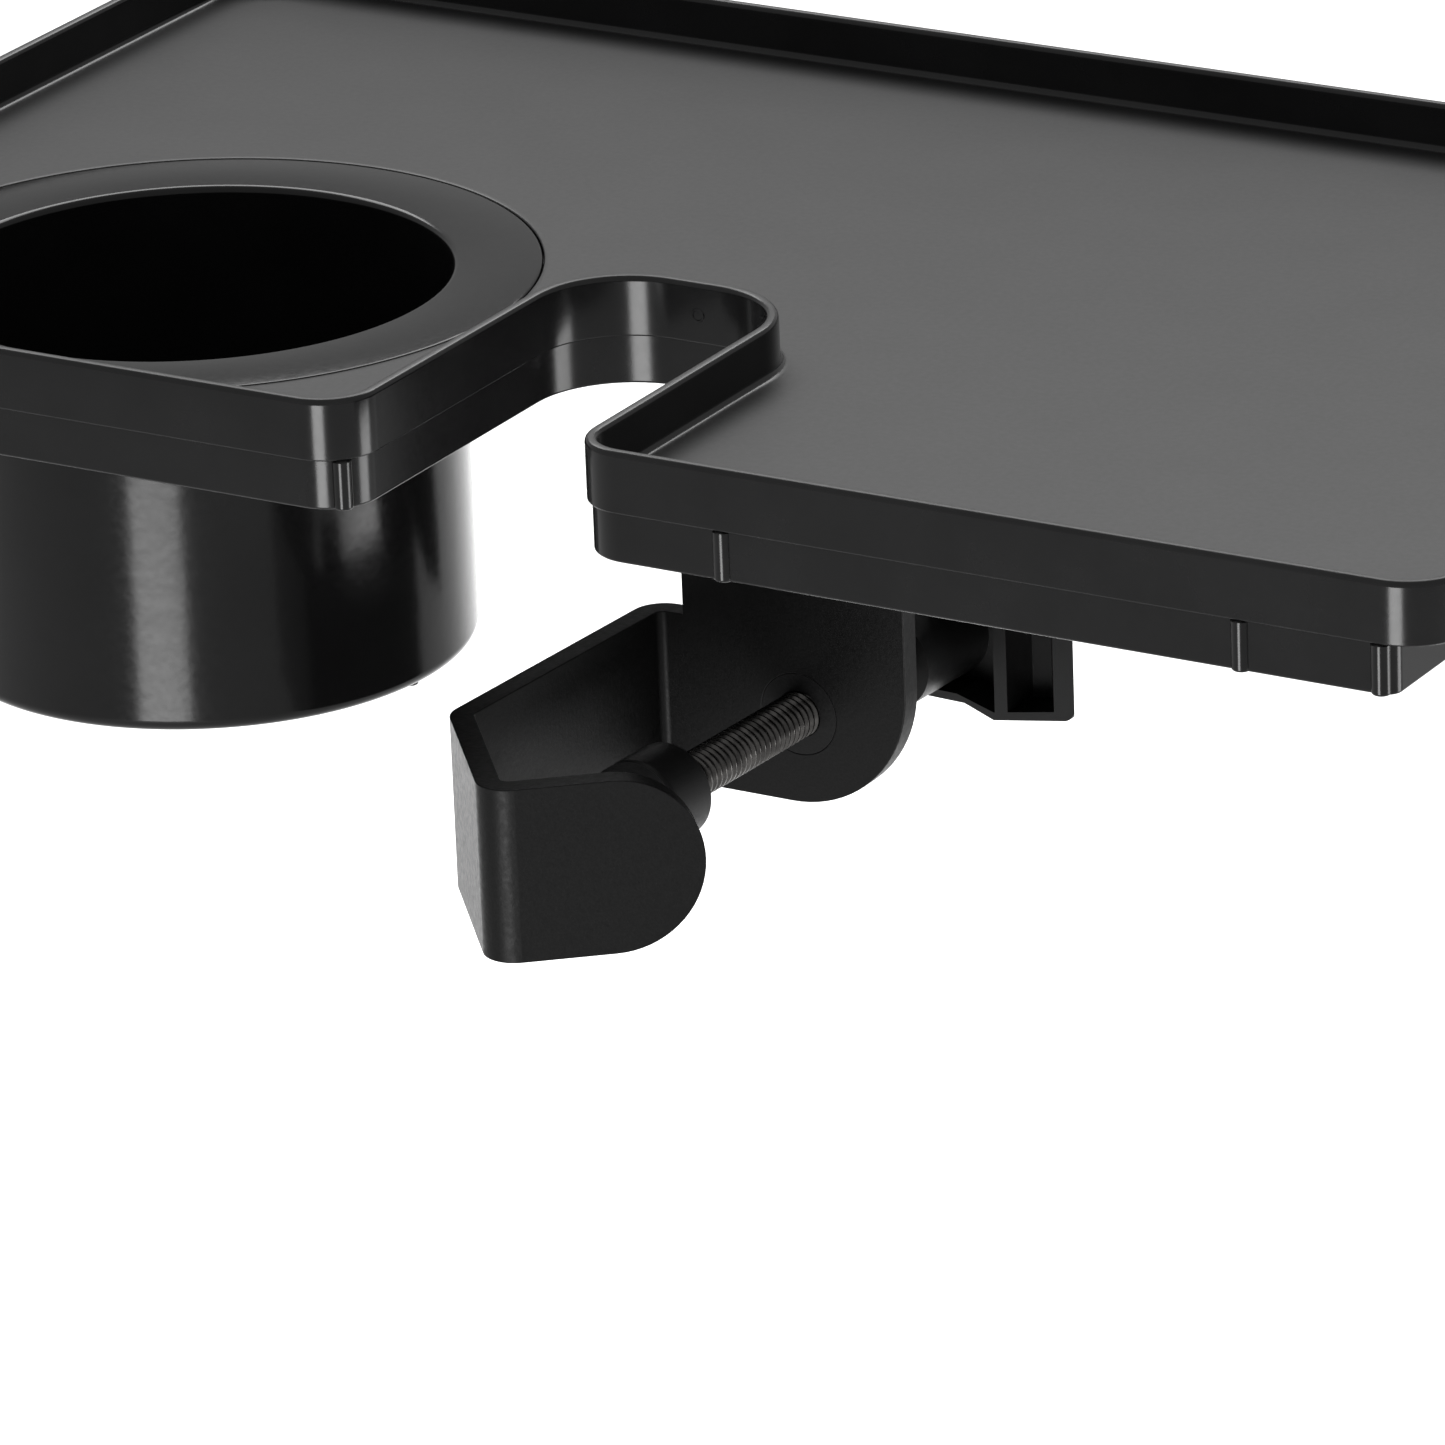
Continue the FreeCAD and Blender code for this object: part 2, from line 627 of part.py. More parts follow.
def wing_taper(name, inset):
    """The wings seen from above: the full span in front, narrowing to the back."""
    sketch = doc.addObject("Sketcher::SketchObject", name)
    front = dim("wing_half") - inset
    back = front - dim("wing_taper")
    depth = dim("wing_depth")
    points = [FreeCAD.Vector(x, y, 0)
              for x, y in ((-front, 0), (front, 0), (back, depth), (-back, depth))]
    for start, end in zip(points, points[1:] + points[:1]):
        sketch.addGeometry(Part.LineSegment(start, end))
    where(sketch, "dims.screw_x", WING_FRONT, "dims.screw_z - dims.wing_height / 2")
    return extruded(f"{name}_block", sketch, "dims.wing_height")


def rounded_ends(name, block, reach, radius):
    """Round the upright edges at the ends of the wings, those at least reach from the hub."""
    doc.recompute()
    rounded = doc.addObject("Part::Fillet", name)
    rounded.Base = block
    chosen = []
    for i, edge in enumerate(block.Shape.Edges, 1):
        run = edge.BoundBox
        if run.XLength < 0.01 and run.ZLength < 0.01 and abs(run.XMin - dim("screw_x")) > reach:
            chosen.append((i, radius, radius))
    rounded.Edges = chosen
    return rounded


def make_knob():
    """A moulded wing knob: a round neck, and two wings hollowed from the front."""
    hub = on_screw("knob_hub", "dims.neck_radius", "dims.neck_length + dims.wing_depth",
                   "dims.knob_front")
    wing_back = f"{WING_FRONT} + dims.wing_depth"
    block = extruded("wing_block", wing_outline("wing_plan", 0, wing_back), "dims.wing_depth",
                     (0, -1, 0))
    rounded = rounded_ends("wings_rounded", block, dim("wing_half") - 1, dim("wing_corner"))
    wings = doc.addObject("Part::MultiCommon", "wings_tapered")
    wings.Shapes = [rounded, wing_taper("taper_plan", 0)]
    hollow_plan = wing_outline("hollow_plan", dim("wing_wall"),
                               f"{wing_back} - dims.wing_back_wall")
    hollow_block = extruded("hollow_block", hollow_plan, "dims.wing_depth", (0, -1, 0))
    pockets = []
    for side, sign in (("left", "-"), ("right", "+")):
        for kind, start, end in (
            ("inner", "dims.wing_wall", "dims.web_x - dims.web_thick / 2"),
            ("outer", "dims.web_x + dims.web_thick / 2", "dims.wing_half"),
        ):
            near = start if sign == "+" else end
            pockets.append(
                box(f"pocket_{side}_{kind}", f"({end}) - ({start})", "dims.wing_depth",
                    "dims.wing_height", f"dims.screw_x {sign} ({near})", WING_FRONT,
                    "dims.screw_z - dims.wing_height / 2"))
    hollows = doc.addObject("Part::MultiCommon", "wing_hollows")
    hollows.Shapes = [fuse("pocket_blocks", *pockets), hollow_block,
                      wing_taper("pocket_plan", dim("wing_end_wall"))]
    socket = on_screw("insert_socket", "dims.insert_radius", "dims.insert_length + 1",
                      "dims.knob_front - 1")
    through = on_screw("knob_bore", "dims.screw_radius", f"{WING_FRONT} + dims.wing_depth / 2"
                       " - dims.knob_front + 1", "dims.knob_front - 1")
    solid = fuse("knob_solid", hub, cut("wings_hollowed", wings, hollows))
    return leaned(cut("wing_knob", solid, fuse("knob_spaces", socket, through)))


def make_insert():
    """A steel sleeve moulded into the knob's neck, which grips the screw's plain end."""
    outer = on_screw("insert_outer", "dims.insert_radius", "dims.insert_length",
                     "dims.knob_front")
    bore = on_screw("insert_bore", "dims.screw_radius", "dims.insert_length + 2",
                    "dims.knob_front - 1")
    return leaned(cut("knob_insert", outer, bore))


# ---------------------------------------------------------------- flange fasteners

FLANGE_LOW = f"{SKIRT_LOW} - dims.strip_thick"


def make_flange_screws():
    screws = []
    for i, (x, y) in enumerate(fixing_places()):
        head = rod(f"fix_head_{i}", "dims.fix_head_radius", "dims.fix_head_height", x, y,
                   f"{FLANGE_LOW} - dims.washer_thick - dims.fix_head_height")
        shank = rod(f"fix_shank_{i}", "dims.fix_radius",
                    "dims.washer_thick + dims.strip_thick + dims.fix_insert_length - 1",
                    x, y, f"{FLANGE_LOW} - dims.washer_thick")
        slot = rod(f"fix_recess_{i}", "dims.fix_radius * 0.7", "1.5", x, y,
                   f"{FLANGE_LOW} - dims.washer_thick - dims.fix_head_height")
        screws.append(cut(f"fix_screw_{i}", fuse(f"fix_solid_{i}", head, shank), slot))
    return compound("flange_screws", screws)


def make_flange_washers():
    washers = []
    for i, (x, y) in enumerate(fixing_places()):
        disc = rod(f"washer_disc_{i}", "dims.washer_radius", "dims.washer_thick", x, y,
                   f"{FLANGE_LOW} - dims.washer_thick")
        hole = rod(f"washer_hole_{i}", "dims.fix_hole", "dims.washer_thick + 2", x, y,
                   f"{FLANGE_LOW} - dims.washer_thick - 1")
        washers.append(cut(f"washer_{i}", disc, hole))
    return compound("flange_washers", washers)


def make_tray_inserts():
    inserts = []
    for i, (x, y) in enumerate(fixing_places()):
        sleeve = rod(f"sleeve_{i}", "dims.fix_insert_radius", "dims.fix_insert_length", x, y,
                     SKIRT_LOW)
        bore = rod(f"sleeve_bore_{i}", "dims.fix_radius", "dims.fix_insert_length + 2", x, y,
                   f"{SKIRT_LOW} - 1")
        inserts.append(cut(f"tray_insert_{i}", sleeve, bore))
    return compound("tray_inserts", inserts)


def main():
    nodes = [
        make_tray(),
        make_cup(),
        make_bracket(),
        make_bush(),
        make_screw(),
        make_pad(),
        make_pad_face(),
        make_ring(),
        make_knob(),
        make_insert(),
        make_flange_screws(),
        make_flange_washers(),
        make_tray_inserts(),
    ]
    doc.recompute()
    for obj in doc.Objects:
        if "Invalid" in obj.State or "Error" in obj.State:
            raise RuntimeError(f"{obj.Name} did not build: {obj.State}")
    for node in nodes:
        node.Label = node.Name
        if node.Shape.isNull() or not node.Shape.isValid() or not node.Shape.Solids:
            raise RuntimeError(f"{node.Name} has no valid solid")
    os.makedirs("parts", exist_ok=True)
    for node in nodes:
        node.Shape.exportStep(f"parts/{node.Label}.step")
        size = node.Shape.BoundBox
        print(f"{node.Label:16s} solids {len(node.Shape.Solids)} volume {node.Shape.Volume:10.1f}"
              f"  x {size.XMin:7.1f} {size.XMax:7.1f}  y {size.YMin:7.1f} {size.YMax:7.1f}"
              f"  z {size.ZMin:7.1f} {size.ZMax:7.1f}")


main()
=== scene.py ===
import json
import math

import bmesh
import bpy
from mathutils import Matrix, Vector


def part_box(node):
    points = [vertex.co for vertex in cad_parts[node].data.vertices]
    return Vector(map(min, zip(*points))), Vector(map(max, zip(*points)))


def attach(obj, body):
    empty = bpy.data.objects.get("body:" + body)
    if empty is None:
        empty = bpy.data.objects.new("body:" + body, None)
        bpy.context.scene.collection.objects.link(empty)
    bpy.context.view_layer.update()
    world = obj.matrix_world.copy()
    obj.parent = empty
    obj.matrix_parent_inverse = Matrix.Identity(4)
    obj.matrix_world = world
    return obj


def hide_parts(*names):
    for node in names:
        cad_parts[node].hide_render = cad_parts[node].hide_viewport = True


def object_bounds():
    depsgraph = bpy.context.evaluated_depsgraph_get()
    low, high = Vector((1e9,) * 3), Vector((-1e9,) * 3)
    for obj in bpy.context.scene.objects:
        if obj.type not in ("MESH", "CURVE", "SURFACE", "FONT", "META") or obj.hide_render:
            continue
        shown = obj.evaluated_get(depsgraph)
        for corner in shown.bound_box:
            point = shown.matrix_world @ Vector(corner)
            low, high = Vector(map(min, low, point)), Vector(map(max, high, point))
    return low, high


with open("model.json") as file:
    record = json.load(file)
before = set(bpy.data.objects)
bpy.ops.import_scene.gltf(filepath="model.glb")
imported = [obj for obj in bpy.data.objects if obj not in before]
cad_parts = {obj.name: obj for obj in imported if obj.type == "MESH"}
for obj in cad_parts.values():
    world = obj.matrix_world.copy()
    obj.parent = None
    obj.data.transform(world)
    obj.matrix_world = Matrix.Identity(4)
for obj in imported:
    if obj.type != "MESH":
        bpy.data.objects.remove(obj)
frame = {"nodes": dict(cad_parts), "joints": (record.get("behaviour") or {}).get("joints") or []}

# A clamp-on accessory tray with a drink cup. Units are metres. Most pieces are the CAD
# node's own shape with its edges softened; the tray, the cup and the screw are rebuilt
# with the mouldings and the thread that the CAD leaves out.

CAD_LOW, CAD_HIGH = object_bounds()
MM = 0.001


# ---------------------------------------------------------------- materials

def new_material(name, colour, roughness, specular=0.5, metallic=0.0):
    material = bpy.data.materials.new(name)
    material.use_nodes = True
    shader = material.node_tree.nodes["Principled BSDF"]
    shader.inputs["Base Color"].default_value = (*colour, 1)
    shader.inputs["Roughness"].default_value = roughness
    shader.inputs["Specular IOR Level"].default_value = specular
    shader.inputs["Metallic"].default_value = metallic
    return material, material.node_tree, shader


def add_noise(tree, scale, detail=3.0, rough=0.55, stretch=(1, 1, 1)):
    """A noise texture in object space, stretched along the axes."""
    place = tree.nodes.new("ShaderNodeTexCoord")
    mapping = tree.nodes.new("ShaderNodeMapping")
    mapping.inputs["Scale"].default_value = stretch
    noise = tree.nodes.new("ShaderNodeTexNoise")
    noise.inputs["Scale"].default_value = scale
    noise.inputs["Detail"].default_value = detail
    noise.inputs["Roughness"].default_value = rough
    tree.links.new(place.outputs["Object"], mapping.inputs["Vector"])
    tree.links.new(mapping.outputs["Vector"], noise.inputs["Vector"])
    return noise


def vary_roughness(tree, shader, noise, low, high):
    spread = tree.nodes.new("ShaderNodeMapRange")
    spread.inputs["From Min"].default_value = 0.3
    spread.inputs["From Max"].default_value = 0.7
    spread.inputs["To Min"].default_value = low
    spread.inputs["To Max"].default_value = high
    tree.links.new(noise.outputs["Fac"], spread.inputs["Value"])
    tree.links.new(spread.outputs["Result"], shader.inputs["Roughness"])


def vary_colour(tree, shader, noise, dark, light):
    ramp = tree.nodes.new("ShaderNodeValToRGB")
    ramp.color_ramp.elements[0].position = 0.32
    ramp.color_ramp.elements[0].color = (*dark, 1)
    ramp.color_ramp.elements[1].position = 0.68
    ramp.color_ramp.elements[1].color = (*light, 1)
    tree.links.new(noise.outputs["Fac"], ramp.inputs["Fac"])
    tree.links.new(ramp.outputs["Color"], shader.inputs["Base Color"])


def add_bump(tree, shader, noise, distance, strength=1.0):
    bump = tree.nodes.new("ShaderNodeBump")
    bump.inputs["Distance"].default_value = distance
    bump.inputs["Strength"].default_value = strength
    tree.links.new(noise.outputs["Fac"], bump.inputs["Height"])
    tree.links.new(bump.outputs["Normal"], shader.inputs["Normal"])


def dull_upward_faces(tree, shader, extra):
    """Add to the roughness where the surface faces up, as on a textured tray floor."""
    spread = shader.inputs["Roughness"].links[0].from_socket
    place = tree.nodes.new("ShaderNodeTexCoord")
    split = tree.nodes.new("ShaderNodeSeparateXYZ")
    upward = tree.nodes.new("ShaderNodeMapRange")
    upward.inputs["From Min"].default_value = 0.85
    upward.inputs["From Max"].default_value = 1.0
    upward.inputs["To Max"].default_value = extra
    total = tree.nodes.new("ShaderNodeMath")
    tree.links.new(place.outputs["Normal"], split.inputs["Vector"])
    tree.links.new(split.outputs["Z"], upward.inputs["Value"])
    tree.links.new(upward.outputs["Result"], total.inputs[0])
    tree.links.new(spread, total.inputs[1])
    tree.links.new(total.outputs["Value"], shader.inputs["Roughness"])


def moulded_plastic(name, dark, light, roughness, grain, depth, specular, dull_top=0.0):
    """Moulded plastic: a fine grain in the surface and slow changes of tone and gloss."""
    material, tree, shader = new_material(name, light, roughness[0], specular)
    vary_colour(tree, shader, add_noise(tree, 60, 4), dark, light)
    vary_roughness(tree, shader, add_noise(tree, 900, 2), *roughness)
    if dull_top:
        dull_upward_faces(tree, shader, dull_top)
    add_bump(tree, shader, add_noise(tree, grain, 2), depth, 0.6)
    return material


def powder_coat(name, dark, light, roughness):
    """Matt powder coat: speckled tone and the fine orange peel of the paint."""
    material, tree, shader = new_material(name, light, roughness[0], 0.24)
    vary_colour(tree, shader, add_noise(tree, 2600, 3, 0.7), dark, light)
    vary_roughness(tree, shader, add_noise(tree, 900, 2), *roughness)
    add_bump(tree, shader, add_noise(tree, 1500, 3), 0.00005, 0.8)
    return material


def turned_metal(name, dark, light, roughness):
    """Machined or plated metal: tool marks, with a little staining in the plating."""
    material, tree, shader = new_material(name, light, roughness[0], 0.5, 1.0)
    vary_colour(tree, shader, add_noise(tree, 320, 5, 0.65), dark, light)
    vary_roughness(tree, shader, add_noise(tree, 700, 3), *roughness)
    add_bump(tree, shader, add_noise(tree, 900, 2, 0.5, (1, 9, 1)), 0.000008)
    return material


def grey(value):
    return (value, value, value * 1.02)


MATERIALS = {
    "tray_plastic": moulded_plastic("tray_plastic", grey(0.008), grey(0.012), (0.16, 0.20),
                                    3800, 0.000006, 0.36, dull_top=0.30),
    "cup_plastic": moulded_plastic("cup_plastic", grey(0.005), grey(0.007), (0.13, 0.18),
                                   260, 0.00003, 0.3),
    "bracket_paint": powder_coat("bracket_paint", grey(0.002), grey(0.006), (0.40, 0.50)),
    "bush_steel": powder_coat("bush_steel", grey(0.005), grey(0.010), (0.42, 0.50)),
    "screw_steel": turned_metal("screw_steel", (0.060, 0.058, 0.056), (0.140, 0.135, 0.130),
                                (0.20, 0.30)),
    "pad_plastic": moulded_plastic("pad_plastic", grey(0.007), grey(0.010), (0.40, 0.48),
                                   2600, 0.00002, 0.35),
    "pad_rubber": moulded_plastic("pad_rubber", grey(0.018), grey(0.024), (0.66, 0.76),
                                  3000, 0.00003, 0.35),
    "knob_plastic": moulded_plastic("knob_plastic", grey(0.007), grey(0.011), (0.38, 0.46),
                                    2800, 0.00002, 0.4),
    "fastener_steel": turned_metal("fastener_steel", (0.46, 0.46, 0.45), (0.62, 0.61, 0.60),
                                   (0.24, 0.36)),
    "insert_brass": turned_metal("insert_brass", (0.58, 0.42, 0.20), (0.76, 0.58, 0.30),
                                 (0.22, 0.34)),
}


# ---------------------------------------------------------------- mesh helpers

SHARP_ANGLE = 32
FLAT_ANGLE = 1


def piece(name, mesh, slot_name, body, *nodes, sharp=SHARP_ANGLE):
    """Make an object of the mesh, smooth up to the sharp angle, on its body."""
    mesh.materials.clear()
    mesh.materials.append(MATERIALS[slot_name])
    mesh.shade_smooth()
    mesh.set_sharp_from_angle(angle=math.radians(sharp))
    obj = bpy.data.objects.new(name, mesh)
    bpy.context.scene.collection.objects.link(obj)
    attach(obj, body)
    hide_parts(*nodes)
    return obj


def even_shading(obj):
    """Let the large flat faces set the normals beside them."""
    shading = obj.modifiers.new("shading", "WEIGHTED_NORMAL")
    shading.keep_sharp = True


def mesh_from(name, bm):
    bmesh.ops.recalc_face_normals(bm, faces=bm.faces)
    mesh = bpy.data.meshes.new(name)
    bm.to_mesh(mesh)
    bm.free()
    return mesh


def softened(node, slot_name, body, width, segments=3):
    """The CAD node's shape with its hard edges rounded off by width."""
    bm = bmesh.new()
    bm.from_mesh(frame["nodes"][node].data)
    bmesh.ops.remove_doubles(bm, verts=bm.verts, dist=2e-6)
    bmesh.ops.dissolve_limit(bm, angle_limit=math.radians(FLAT_ANGLE), verts=bm.verts,
                             edges=bm.edges, use_dissolve_boundaries=False)
    name = f"{node}_finish"
    obj = piece(name, mesh_from(name, bm), slot_name, body, node)
    rounding = obj.modifiers.new("edges", "BEVEL")
    rounding.width = width
    rounding.segments = segments
    rounding.limit_method = "ANGLE"
    rounding.angle_limit = math.radians(SHARP_ANGLE)
    rounding.use_clamp_overlap = True
    even_shading(obj)


def arc(centre_r, centre_z, radius, start, end, steps=6):
    """Points of an arc in a profile plane, angles in degrees."""
    points = []
    for i in range(steps + 1):
        turn = math.radians(start + (end - start) * i / steps)
        points.append((centre_r + radius * math.cos(turn), centre_z + radius * math.sin(turn)))
    return points


def revolve(bm, profile, place, steps):
    """Spin a profile of (radius, height) round the Z axis of place."""
    rings = []
    for radius, height in profile:
        if radius < 1e-7:
            rings.append([bm.verts.new(place @ Vector((0, 0, height)))])
            continue
        ring = []
        for i in range(steps):
            turn = 2 * math.pi * i / steps
            ring.append(bm.verts.new(place @ Vector((radius * math.cos(turn),
                                                     radius * math.sin(turn), height))))
        rings.append(ring)
    for low, high in zip(rings, rings[1:]):
        for i in range(steps):
            j = (i + 1) % steps
            corners = [low[i % len(low)], low[j % len(low)], high[j % len(high)],
                       high[i % len(high)]]
            unique = list(dict.fromkeys(corners))
            if len(unique) > 2:
                bm.faces.new(unique)


# ---------------------------------------------------------------- the tray

TRAY_LOW, TRAY_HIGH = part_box("tray")
CUP_LOW, CUP_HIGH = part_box("drink_cup")
CUP_X = (CUP_LOW.x + CUP_HIGH.x) / 2
CUP_Y = (CUP_LOW.y + CUP_HIGH.y) / 2
CUP_MOUTH = 43.0 * MM
CUP_WALL = 1.5 * MM
CUP_FLANGE = (CUP_HIGH.x - CUP_LOW.x) / 2
CUP_FLANGE_THICK = 1.8 * MM
CUP_PLAY = 0.15 * MM

WALL = 2.1 * MM
FLOOR_THICK = 2.6 * MM
RIM_HEIGHT = 10.2 * MM
RIM_CORNER = 10.0 * MM
SKIRT_CORNER = 2.5 * MM
SKIRT_SIDE = 8.0 * MM
SKIRT_INSET = 0.8 * MM
NOTCH_HALF = 19.7 * MM
NOTCH_DEPTH = 73.0 * MM
NOTCH_MOUTH = 9.0 * MM
NOTCH_INNER = 15.0 * MM
BEAD_RADIUS = 1.6 * MM
BEAD_SINK = 0.6 * MM
RIB_HEIGHT = 5.5 * MM
RIB_THICK = 1.8 * MM
RIB_SINK = 0.2 * MM
RIB_FROM_BACK = 40 * MM
RIB_FROM_END = 66 * MM
RIB_PAST_CUP = 40 * MM
BOSS_RADIUS = 5.0 * MM
BOSS_FLARE = 5.8 * MM
BOSS_BORE = 2.9 * MM

TRAY_FRONT = TRAY_LOW.y + BEAD_RADIUS - BEAD_SINK - SKIRT_INSET
FLOOR_TOP = CUP_HIGH.z
FLOOR_LOW = FLOOR_TOP - FLOOR_THICK
RIM_LOW = TRAY_HIGH.z - RIM_HEIGHT
SEAT_RADIUS = CUP_FLANGE + CUP_PLAY
OPENING = CUP_MOUTH + CUP_WALL + CUP_PLAY
SEAT_RING = CUP_FLANGE + 3 * MM
SEAT_TOP = FLOOR_TOP - CUP_FLANGE_THICK
SEAT_LOW = FLOOR_LOW - CUP_FLANGE_THICK
ARC_STEPS = 14
LATHE_STEPS = 160


def tray_loop(inset, side, corner):
    """The tray's outline moved in by inset, and by side at its two ends."""
    left, right = TRAY_LOW.x + side, TRAY_HIGH.x - side
    front, back = TRAY_FRONT + inset, TRAY_HIGH.y - inset
    half, deep = NOTCH_HALF + inset, TRAY_FRONT + NOTCH_DEPTH + inset
    mouth, inner = NOTCH_MOUTH - inset, NOTCH_INNER + inset
    corners = [((left, front), corner), ((-half, front), mouth), ((-half, deep), inner),
               ((half, deep), inner), ((half, front), mouth), ((right, front), corner),
               ((right, back), corner), ((left, back), corner)]
    points = []
    for i, (place, radius) in enumerate(corners):
        spot = Vector(place)
        into = (spot - Vector(corners[i - 1][0])).normalized()
        out = (Vector(corners[(i + 1) % len(corners)][0]) - spot).normalized()
        centre = spot + (out - into) * radius
        for step in range(ARC_STEPS + 1):
            turn = math.pi / 2 * step / ARC_STEPS
            points.append(centre - out * radius * math.cos(turn) + into * radius * math.sin(turn))
    return points


def rim_section():
    """The rim as (inset, height): up its inside from the floor, over, and down outside."""
    border, fillet, round_over, lip = 1.5 * MM, 1.3 * MM, 0.95 * MM, 0.35 * MM
    crown = TRAY_HIGH.z - round_over
    section = [(WALL + fillet + border, FLOOR_TOP)]
    section += arc(WALL + fillet, FLOOR_TOP + fillet, fillet, 270, 180)
    section += [(WALL, crown - 0.5 * MM)]
    section += arc(WALL - round_over, crown, round_over, 0, 90)
    section += arc(round_over, crown, round_over, 90, 180)
    return section + arc(lip, RIM_LOW + lip, lip, 180, 270, 4)


def skirt_section():
    """The skirt as (inset, height): down outside, round its foot and up to the floor."""
    border, outer_round, inner_round = 1 * MM, 0.5 * MM, 0.4 * MM
    outside, inside, low = SKIRT_INSET, SKIRT_INSET + WALL, TRAY_LOW.z
    section = [(outside, RIM_LOW)]
    section += arc(outside + outer_round, low + outer_round, outer_round, 180, 270, 4)
    section += arc(inside - inner_round, low + inner_round, inner_round, 270, 360, 4)
    return section + [(inside, FLOOR_LOW), (inside + border, FLOOR_LOW)]


def tray_rings(bm):
    """Closed rings of vertices for every level of the rim and the skirt."""
    least_corner = 0.4 * MM
    levels = [(inset, inset, RIM_CORNER - inset, z) for inset, z in rim_section()]
    for inset, z in skirt_section():
        step = inset - SKIRT_INSET
        levels.append((inset, SKIRT_SIDE + step, max(SKIRT_CORNER - step, least_corner), z))
    return [[bm.verts.new((*spot, z)) for spot in tray_loop(inset, side, corner)]
            for inset, side, corner, z in levels]


def seat_rings(bm):
    """Closed rings for the cup's seat: the recess, the opening and the ring underneath."""
    edge = 0.3 * MM
    section = [(SEAT_RADIUS + 1 * MM, FLOOR_TOP), (SEAT_RADIUS + edge, FLOOR_TOP),
               (SEAT_RADIUS, FLOOR_TOP - edge), (SEAT_RADIUS, SEAT_TOP),
               (OPENING, SEAT_TOP), (OPENING, SEAT_LOW + edge), (OPENING + edge, SEAT_LOW),
               (SEAT_RING - edge, SEAT_LOW), (SEAT_RING, SEAT_LOW + edge),
               (SEAT_RING, FLOOR_LOW), (SEAT_RING + 0.5 * MM, FLOOR_LOW)]
    return [circle(bm, radius, height) for radius, height in section]


def circle(bm, radius, height):
    """A ring of vertices round the cup's axis."""
    turns = [2 * math.pi * i / LATHE_STEPS for i in range(LATHE_STEPS)]
    return [bm.verts.new((CUP_X + radius * math.cos(t), CUP_Y + radius * math.sin(t), height))
            for t in turns]


def skin(bm, rings):
    """Faces between each closed ring and the next."""
    for ring, following in zip(rings, rings[1:]):
        for i in range(len(ring)):
            j = (i + 1) % len(ring)
            bm.faces.new([ring[i], ring[j], following[j], following[i]])


def fill_between(bm, outer, hole):
    """A flat face with a hole: the space between two closed rings at one height."""
    edges = []
    for ring in (outer, hole):
        for i in range(len(ring)):
            pair = (ring[i], ring[(i + 1) % len(ring)])
            edges.append(bm.edges.get(pair) or bm.edges.new(pair))
    bmesh.ops.triangle_fill(bm, edges=edges, use_beauty=True)


def add_bead(bm, x, y):
    """A small half-round rib down the skirt, with a rounded foot."""
    low, foot, top = TRAY_LOW.z, 0.5 * MM, RIM_LOW + 0.1 * MM
    profile = [(0, low)] + arc(BEAD_RADIUS - foot, low + foot, foot, -90, 0, 4)
    profile += [(BEAD_RADIUS, RIM_LOW - 0.3 * MM), (BEAD_RADIUS - foot, top), (0, top)]
    revolve(bm, profile, Matrix.Translation((x, y, 0)), 32)


def bead_places():
    """Where the beads stand: along the front, down the right end and at the notch's mouth."""
    front = TRAY_FRONT + SKIRT_INSET + BEAD_SINK
    for step in (27.2, 116.4, 139.7):
        yield NOTCH_HALF + step * MM, front
    for step in (76.0, 139.7):
        yield -NOTCH_HALF - step * MM, front
    side = TRAY_HIGH.x - SKIRT_SIDE - BEAD_SINK
    for step in (40.0, 110.0, 180.0):
        yield side, TRAY_FRONT + step * MM
    share = 1 - math.sqrt(0.5)
    yield (-NOTCH_HALF - NOTCH_MOUTH * share - SKIRT_INSET,
           TRAY_FRONT + NOTCH_MOUTH * share + SKIRT_INSET)


def add_rib(bm, left, front, right, back):
    """A stiffening rib under the floor, with its lower edges rounded."""
    low = Vector((left, front, FLOOR_LOW - RIB_HEIGHT))
    high = Vector((right, back, FLOOR_LOW + RIB_SINK))
    made = bmesh.ops.create_cube(bm, size=1)["verts"]
    for vert in made:
        vert.co = (low + high) / 2 + Vector(c * s for c, s in zip(vert.co, high - low))
    under = [edge for edge in {edge for vert in made for edge in vert.link_edges}
             if all(abs(vert.co.z - low.z) < 1e-7 for vert in edge.verts)]
    under.sort(key=lambda edge: tuple(edge.verts[0].co + edge.verts[1].co))
    bmesh.ops.bevel(bm, geom=under, offset=0.4 * MM, segments=3, affect="EDGES")


def add_ribs(bm):
    rear = TRAY_HIGH.y - RIB_FROM_BACK
    cross = TRAY_HIGH.x - RIB_FROM_END
    inside = WALL + SKIRT_INSET
    add_rib(bm, NOTCH_HALF, rear, TRAY_HIGH.x - SKIRT_SIDE - inside, rear + RIB_THICK)
    add_rib(bm, cross, TRAY_FRONT + inside, cross + RIB_THICK, TRAY_HIGH.y - inside)
    add_rib(bm, CUP_X - RIB_PAST_CUP, rear, -NOTCH_HALF, rear + RIB_THICK)


def add_bosses(bm):
    """A hollow boss round each brass insert."""
    foot = 0.4 * MM
    profile = [(BOSS_BORE, FLOOR_LOW - 1.5 * MM), (BOSS_BORE, TRAY_LOW.z)]
    profile += arc(BOSS_RADIUS - foot, TRAY_LOW.z + foot, foot, -90, 0, 4)
    profile += [(BOSS_RADIUS, FLOOR_LOW - 0.8 * MM), (BOSS_FLARE, FLOOR_LOW)]
    for spot in loose_centres("tray_inserts"):
        revolve(bm, profile, Matrix.Translation((spot.x, spot.y, 0)), 40)


def add_gate_mark(bm):
    """The small raised ring that the mould's gate leaves on the notch's back wall."""
    sunk, proud = -0.05 * MM, 0.25 * MM
    wall = TRAY_FRONT + NOTCH_DEPTH + 0.05 * MM
    place = Matrix.Translation((0.6 * MM, wall, 72.9 * MM)) @ Matrix.Rotation(math.pi / 2, 4, "X")
    revolve(bm, [(0, sunk), (0.7 * MM, sunk), (0.9 * MM, proud), (1.1 * MM, proud),
                 (1.3 * MM, sunk)], place, 28)


